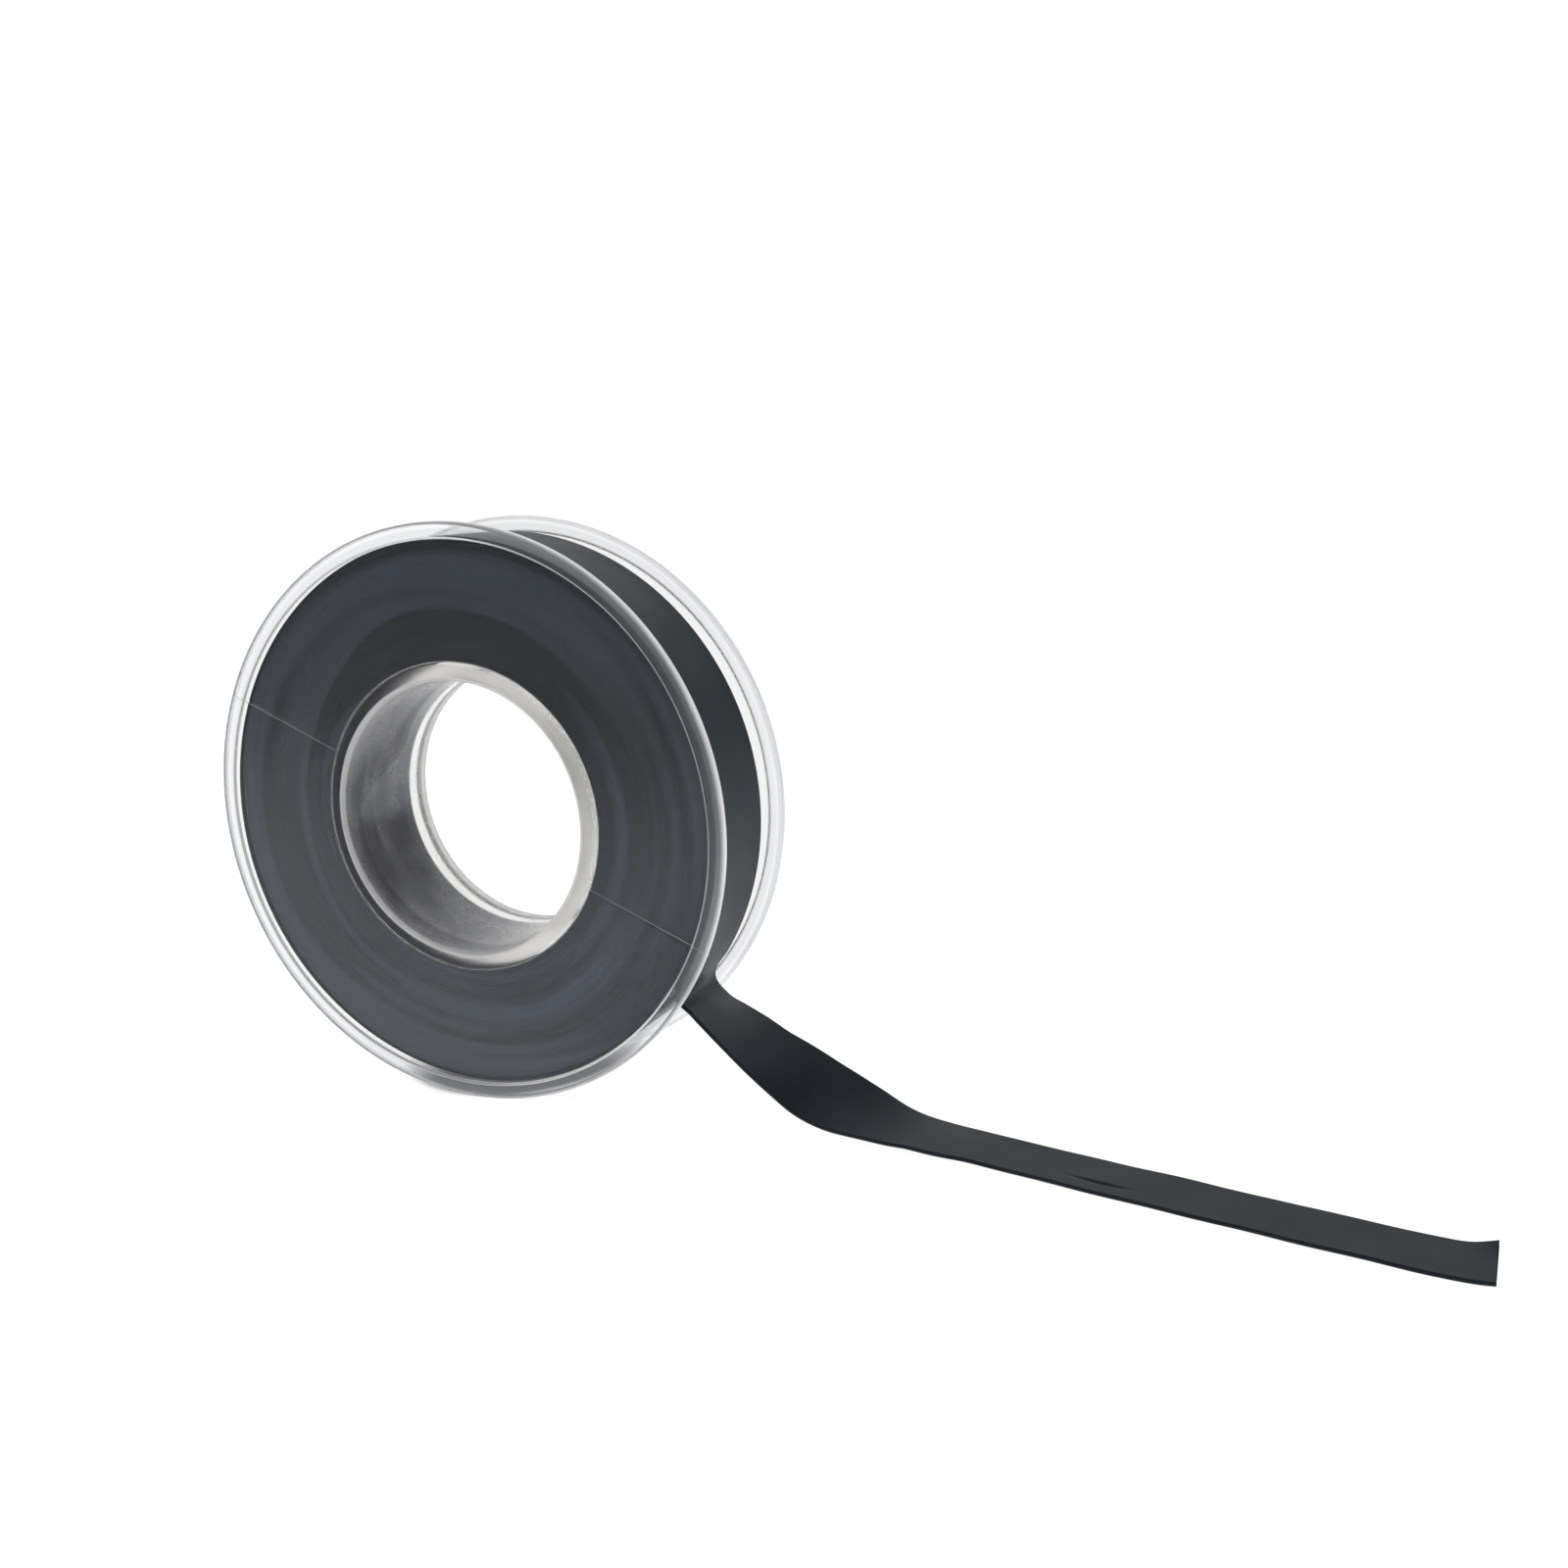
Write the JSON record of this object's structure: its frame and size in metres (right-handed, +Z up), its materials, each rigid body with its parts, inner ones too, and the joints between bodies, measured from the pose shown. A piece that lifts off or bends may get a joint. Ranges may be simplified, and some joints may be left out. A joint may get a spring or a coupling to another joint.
{
  "type": "seal tape roll",
  "caption": "Clear flanged spool with a wide bore, wound with soft black seal tape whose free end peels off and lies out; the spool turns as tape is drawn off.",
  "frame": {"origin": "centre of the spool, on the bore axis, halfway between the two flanges", "axes": "+Y along the bore axis from the front flange to the rear one, +Z up when the roll stands on its rims, +X towards the free end of the tape"},
  "size_m": [0.1561, 0.0192, 0.072],
  "materials": {
    "clear_plastic": "clear moulding, faintly frosted, with polished rims",
    "black_tape": "soft matt black with a faint sheen"
  },
  "bodies": {
    "tape": {"tape_outer_turn": "black_tape", "tape_tail": "black_tape"},
    "reel": {"spool": "clear_plastic", "tape_pack": "black_tape"}
  },
  "joints": [
    {"name": "reel_turn", "type": "hinge", "parent": "tape", "child": "reel", "pos_m": [0, 0, 0], "axis": [0, 1, 0], "continuous": true}
  ]
}
